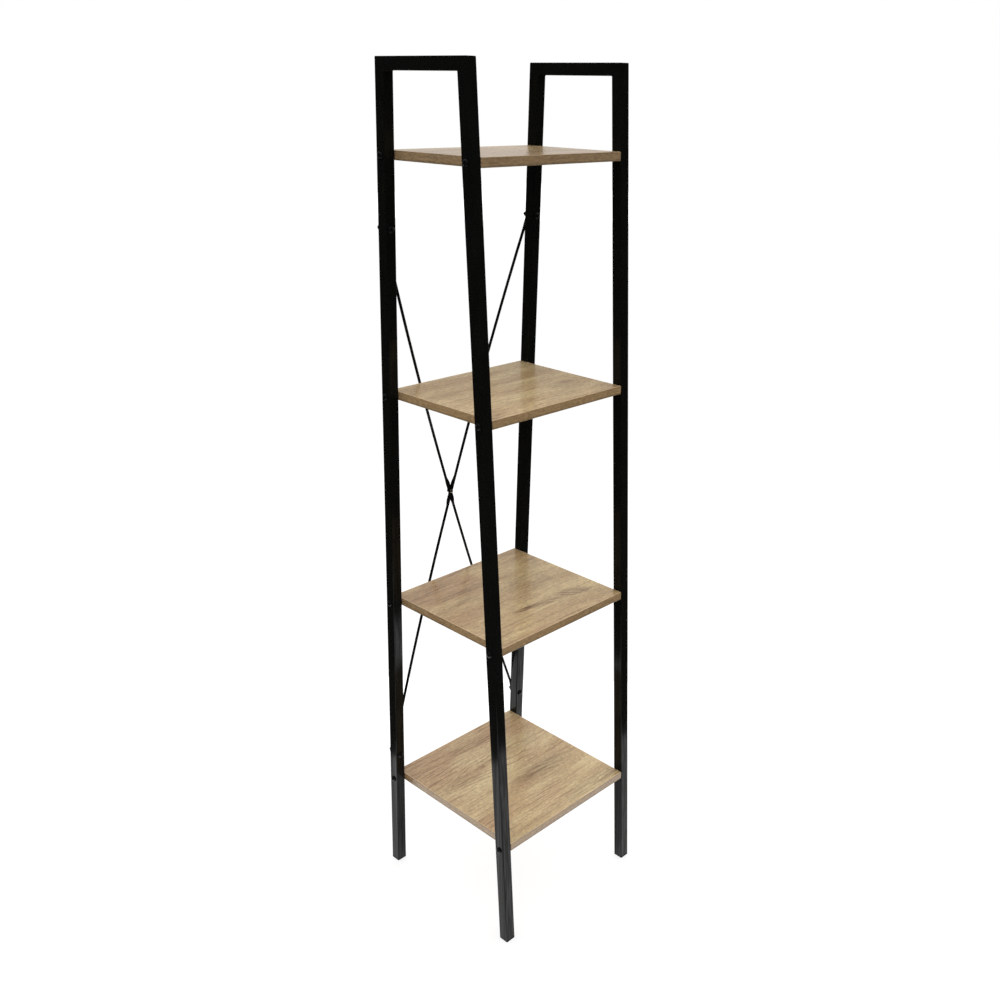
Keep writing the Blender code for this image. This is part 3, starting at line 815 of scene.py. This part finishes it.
def m6_bolt(name, sizes, reach, head, threaded):
    """The bolt that the boards and the brace share, but for its length."""
    return bolt_mesh(name, sizes.sides, sizes.thread, reach, threaded, head, sizes.head_height,
                     sizes.socket, sizes.socket_depth, sizes.pitch)


def nut_mesh(name, sides, bore, width, height):
    """A hexagon nut whose corners are turned off on both faces, with a chamfered bore."""
    form = bmesh.new()
    turned = width * NUT_TURNED
    outside = hexagon(width)
    mouth = bore / 2 * 1.12
    chamfer = height * 0.12

    def cut(angle):
        return (outside(angle) - turned) * NUT_SLOPE

    outline = [
        (bore / 2, chamfer), (mouth, 0), (turned, 0), (outside, cut),
        (outside, lambda angle: height - cut(angle)), (turned, height), (mouth, height),
        (bore / 2, height - chamfer),
    ]
    skinned(form, [ring_of(form, sides, *point) for point in outline], joined=True)
    return to_mesh(name, form, 25)


def node_points(name):
    return np.array([v.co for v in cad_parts[name].data.vertices], float)


def node_axis(name):
    """The centre and the axis of a packed fastener, and how far it reaches both ways along that axis.

    The axis of a turned piece is the one direction whose spread differs from the other two. It
    points to the end where the piece is wider.
    """
    points = node_points(name)
    centre = points.mean(0)
    spread, directions = np.linalg.eigh(np.cov((points - centre).T))
    odd = 0 if spread[1] - spread[0] > spread[2] - spread[1] else 2
    axis = directions[:, odd]
    along = (points - centre) @ axis
    off = np.linalg.norm((points - centre) - along[:, None] * axis, axis=1)
    far_half = along > (along.max() + along.min()) / 2
    if off[far_half].max() < off[~far_half].max():
        axis, along = -axis, -along
    return Vector(centre), Vector(axis), along.min(), along.max()


def heights_along(name, centre, axis):
    """How far a node's points lie from a centre along an axis."""
    return (node_points(name) - np.array(centre)) @ np.array(axis)


def seat(centre, axis, height):
    """A frame with Z along an axis, whose origin is so far along it."""
    turn = axis.to_track_quat("Z", "Y").to_matrix().to_4x4()
    return Matrix.Translation(centre + axis * height) @ turn


def stand_for(name, node, mesh, matrix, material):
    """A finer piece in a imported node's place."""
    piece = bpy.data.objects.new(name, mesh)
    bpy.context.scene.collection.objects.link(piece)
    if not mesh.materials:
        mesh.materials.append(material)
    piece.matrix_world = matrix
    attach(piece, "root")
    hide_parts(node)


def studio_piece(scene, name, form, *materials):
    """A piece of the studio, linked to the scene."""
    piece = bpy.data.objects.new(name, to_mesh(name, form))
    for material in materials:
        piece.data.materials.append(material)
    scene.collection.objects.link(piece)
    return piece


def hide_from(piece, *paths):
    """Hides a piece from these kinds of light path."""
    for path in paths:
        setattr(piece, f"visible_{path}", False)


# Operators

class ETAGERE_OT_side_frames(bpy.types.Operator):
    """Paints the two welded side frames"""
    bl_idname = "etagere.side_frames"
    bl_label = "Side frames"

    def execute(self, context):
        frames = [f"{side}_side_frame" for side in SIDES]
        finish_nodes(frames, black_paint(context.scene.etagere_metal))
        return {"FINISHED"}


class ETAGERE_OT_boards(bpy.types.Operator):
    """Gives each board its own oak-look print and edge band"""
    bl_idname = "etagere.boards"
    bl_label = "Boards"

    def execute(self, context):
        settings = context.scene.etagere_boards
        for name, figure in BOARD_FIGURES.items():
            finish_nodes([name], oak_material(f"oak_look_{name}", settings, figure, *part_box(name)))
        return {"FINISHED"}


class ETAGERE_OT_brace(bpy.types.Operator):
    """Paints the crossed rods behind the boards"""
    bl_idname = "etagere.brace"
    bl_label = "Brace rods"

    def execute(self, context):
        rods = ("front_brace_rod", "rear_brace_rod")
        finish_nodes(rods, black_paint(context.scene.etagere_metal))
        return {"FINISHED"}


class ETAGERE_OT_foot_caps(bpy.types.Operator):
    """Finishes the moulded foot caps"""
    bl_idname = "etagere.foot_caps"
    bl_label = "Foot caps"

    def execute(self, context):
        finish_nodes(FOOT_CAPS, black_plastic(context.scene.etagere_metal))
        return {"FINISHED"}


class ETAGERE_OT_shelf_bolts(bpy.types.Operator):
    """Puts a finer bolt in each shelf bolt's place, and finishes the inserts in the boards"""
    bl_idname = "etagere.shelf_bolts"
    bl_label = "Shelf bolts"

    def execute(self, context):
        metal = context.scene.etagere_metal
        sizes = context.scene.etagere_fasteners
        steel = black_steel(metal)
        mesh = None
        for corner in CORNERS:
            node = f"bolt_{corner}"
            centre, axis, low, high = node_axis(node)
            if mesh is None:
                head = np.ptp(node_points(node)[:, 2])
                reach = high - low - sizes.head_height
                mesh = m6_bolt("shelf_bolt", sizes, reach, head, sizes.shelf_threaded)
            matrix = seat(centre, axis, high - sizes.head_height)
            stand_for(f"shelf_{node}", node, mesh, matrix, steel)
        finish_nodes([f"insert_{corner}" for corner in CORNERS], zinc_plating(metal))
        return {"FINISHED"}


class ETAGERE_OT_brace_fasteners(bpy.types.Operator):
    """Puts finer bolts, nuts and a finer middle screw in the brace's places"""
    bl_idname = "etagere.brace_fasteners"
    bl_label = "Brace fasteners"

    def execute(self, context):
        metal = context.scene.etagere_metal
        sizes = context.scene.etagere_fasteners
        steel = black_steel(metal)
        zinc = zinc_plating(metal)
        bolt = nut = None
        for end in BRACE_ENDS:
            bolt_node, nut_node = f"brace_bolt_{end}", f"brace_nut_{end}"
            centre, axis, low, high = node_axis(bolt_node)
            if bolt is None:
                head = np.ptp(node_points(bolt_node)[:, 0])
                reach = high - low - sizes.head_height
                bolt = m6_bolt("brace_bolt", sizes, reach, head, sizes.brace_threaded)
            matrix = seat(centre, axis, high - sizes.head_height)
            stand_for(f"{bolt_node}_fine", bolt_node, bolt, matrix, steel)
            heights = heights_along(nut_node, centre, axis)
            if nut is None:
                bore = sizes.thread + sizes.nut_play
                nut = nut_mesh("brace_nut", sizes.sides, bore, sizes.nut_width, np.ptp(heights))
            matrix = seat(centre, -axis, -heights.max())
            stand_for(f"{nut_node}_fine", nut_node, nut, matrix, steel)

        node = "brace_middle_screw"
        centre, axis, low, high = node_axis(node)
        head = np.ptp(node_points(node)[:, 0])
        reach = high - low - sizes.middle_head_height
        threaded = reach * sizes.middle_threaded
        screw = bolt_mesh(f"{node}_fine", sizes.sides, sizes.middle_thread, reach, threaded, head,
                          sizes.middle_head_height, sizes.middle_socket, sizes.middle_socket_depth,
                          sizes.middle_pitch)
        matrix = seat(centre, axis, high - sizes.middle_head_height)
        stand_for(f"{node}_fine", node, screw, matrix, zinc)
        node = "brace_middle_nut"
        heights = heights_along(node, centre, axis)
        bore = sizes.middle_thread + sizes.nut_play
        nut = nut_mesh(f"{node}_fine", sizes.sides, bore, sizes.middle_nut_width, np.ptp(heights))
        matrix = seat(centre, -axis, -heights.max())
        stand_for(f"{node}_fine", node, nut, matrix, zinc)
        return {"FINISHED"}


class ETAGERE_OT_studio(bpy.types.Operator):
    """Sets up the floor, the backdrop, the lamp, the even light and the camera"""
    bl_idname = "etagere.studio"
    bl_label = "Studio and camera"

    def execute(self, context):
        scene = context.scene
        settings = scene.etagere_studio
        self.floor(scene, settings)
        self.backdrop(scene, settings)
        self.light(scene, settings)
        self.camera(scene)
        scene.view_settings.view_transform = "Standard"
        return {"FINISHED"}

    def floor(self, scene, settings):
        """The floor, and dark ground beyond the pale paper that only the object sees."""
        form = bmesh.new()
        bmesh.ops.create_grid(form, x_segments=8, y_segments=8, size=FLOOR_SIZE)
        floor = studio_piece(scene, "studio_floor", form, floor_material(settings))
        form = bmesh.new()
        inner = [form.verts.new((x, y, GROUND_RISE)) for x, y in PAPER]
        outer = [form.verts.new((x * GROUND_SPREAD, y * GROUND_SPREAD, GROUND_RISE)) for x, y in PAPER]
        for i in range(len(PAPER)):
            form.faces.new((inner[i - 1], inner[i], outer[i], outer[i - 1]))
        dark, *_ = plain_tone("studio_ground", settings.dark)
        ground = studio_piece(scene, "studio_ground", form, dark)
        hide_from(ground, "camera", "shadow", "transmission")

    def backdrop(self, scene, settings):
        """A round backdrop that only gloss mirrors: grey behind the object, dark beside and before it."""
        form = bmesh.new()
        low = ring_of(form, BACKDROP_SIDES, settings.backdrop_radius, 0)
        high = ring_of(form, BACKDROP_SIDES, settings.backdrop_radius, settings.backdrop_height)
        for i in range(BACKDROP_SIDES):
            face = form.faces.new((low[i], low[i - 1], high[i - 1], high[i]))
            off = abs((tau * (i - 0.5) / BACKDROP_SIDES - GREY_MIDDLE + pi) % tau - pi)
            face.material_index = 0 if off < GREY_HALF_SWEEP else 1
        grey, tree, shader, place = plain_tone("grey_backdrop", 0)
        height = parts_of(tree, place)[2]
        glow = ranged(tree, height, *GLOW_RISE, settings.grey, settings.grey_high)
        glow = times(tree, glow, ranged(tree, height, *GLOW_FALL, 1.0, GLOW_LEFT))
        tree.links.new(glow, shader.inputs["Emission Strength"])
        shader.inputs["Emission Color"].default_value = GLOW_TINT
        dark, *_ = plain_tone("dark_backdrop", settings.dark)
        backdrop = studio_piece(scene, "studio_backdrop", form, grey, dark)
        hide_from(backdrop, "camera", "diffuse", "shadow", "transmission")

    def light(self, scene, settings):
        """A soft lamp behind at the right, and even light from the world."""
        lamp = bpy.data.lights.new("rear_softbox", "AREA")
        lamp.shape = "SQUARE"
        lamp.size = settings.lamp_size
        lamp.energy = settings.lamp
        hung = bpy.data.objects.new("rear_softbox", lamp)
        hung.location = (*LAMP_PLACE, settings.lamp_height)
        hung.rotation_euler = (Vector(LAMP_AIM) - hung.location).to_track_quat("-Z", "Y").to_euler()
        hide_from(hung, "camera", "glossy")
        scene.collection.objects.link(hung)
        world = bpy.data.worlds.new("white_studio")
        world.use_nodes = True
        tree = world.node_tree
        path = add(tree, "ShaderNodeLightPath").outputs
        seen = maths(tree, "ADD", path["Is Camera Ray"], path["Is Glossy Ray"])
        seen = maths(tree, "ADD", seen, path["Is Transmission Ray"], clamp=True)
        background = tree.nodes["Background"]
        background.inputs["Color"].default_value = (1, 1, 1, 1)
        tree.links.new(between(tree, seen, settings.sky, 1.0), background.inputs["Strength"])
        scene.world = world

    def camera(self, scene):
        """The camera of the photograph."""
        yaw, pitch, roll = (radians(angle) for angle in CAMERA_TURN)
        ahead = Vector((sin(yaw) * cos(pitch), cos(yaw) * cos(pitch), sin(pitch)))
        level = Vector((cos(yaw), -sin(yaw), 0))
        upright = level.cross(ahead)
        to_right = level * cos(roll) + upright * sin(roll)
        to_top = upright * cos(roll) - level * sin(roll)
        turn = Matrix((to_right, to_top, -ahead)).transposed().to_4x4()
        data = bpy.data.cameras.new("photo_camera")
        data.sensor_width = CAMERA_SENSOR
        data.lens = CAMERA_LENS
        data.shift_x, data.shift_y = CAMERA_SHIFT
        data.clip_start, data.clip_end = CAMERA_CLIP
        data.dof.use_dof = False
        camera = bpy.data.objects.new("photo_camera", data)
        camera.matrix_world = Matrix.Translation(CAMERA_PLACE) @ turn
        scene.collection.objects.link(camera)
        scene.camera = camera


class ETAGERE_PT_looks(bpy.types.Panel):
    """Lists the steps that finish the etagere, with their settings"""
    bl_label = "Etagere looks"
    bl_idname = "ETAGERE_PT_looks"
    bl_space_type = "VIEW_3D"
    bl_region_type = "UI"
    bl_category = "Etagere"

    def draw(self, context):
        for step in STEPS:
            self.layout.operator(step.bl_idname)
        for name in GROUPS:
            box = self.layout.box()
            settings = getattr(context.scene, name)
            for key in settings.bl_rna.properties.keys():
                if key not in ("rna_type", "name"):
                    box.prop(settings, key)


GROUPS = {
    "etagere_metal": MetalSettings,
    "etagere_boards": BoardSettings,
    "etagere_fasteners": FastenerSettings,
    "etagere_studio": StudioSettings,
}
STEPS = (
    ETAGERE_OT_side_frames,
    ETAGERE_OT_boards,
    ETAGERE_OT_brace,
    ETAGERE_OT_foot_caps,
    ETAGERE_OT_shelf_bolts,
    ETAGERE_OT_brace_fasteners,
    ETAGERE_OT_studio,
)
CLASSES = (*GROUPS.values(), *STEPS, ETAGERE_PT_looks)


def register():
    for kind in CLASSES:
        bpy.utils.register_class(kind)
    for name, kind in GROUPS.items():
        setattr(bpy.types.Scene, name, PointerProperty(type=kind))


def unregister():
    for name in GROUPS:
        delattr(bpy.types.Scene, name)
    for kind in reversed(CLASSES):
        bpy.utils.unregister_class(kind)


def main():
    register()
    bpy.ops.etagere.side_frames()
    bpy.ops.etagere.boards()
    bpy.ops.etagere.brace()
    bpy.ops.etagere.foot_caps()
    bpy.ops.etagere.shelf_bolts()
    bpy.ops.etagere.brace_fasteners()
    bpy.ops.etagere.studio()


if __name__ == "__main__":
    main()
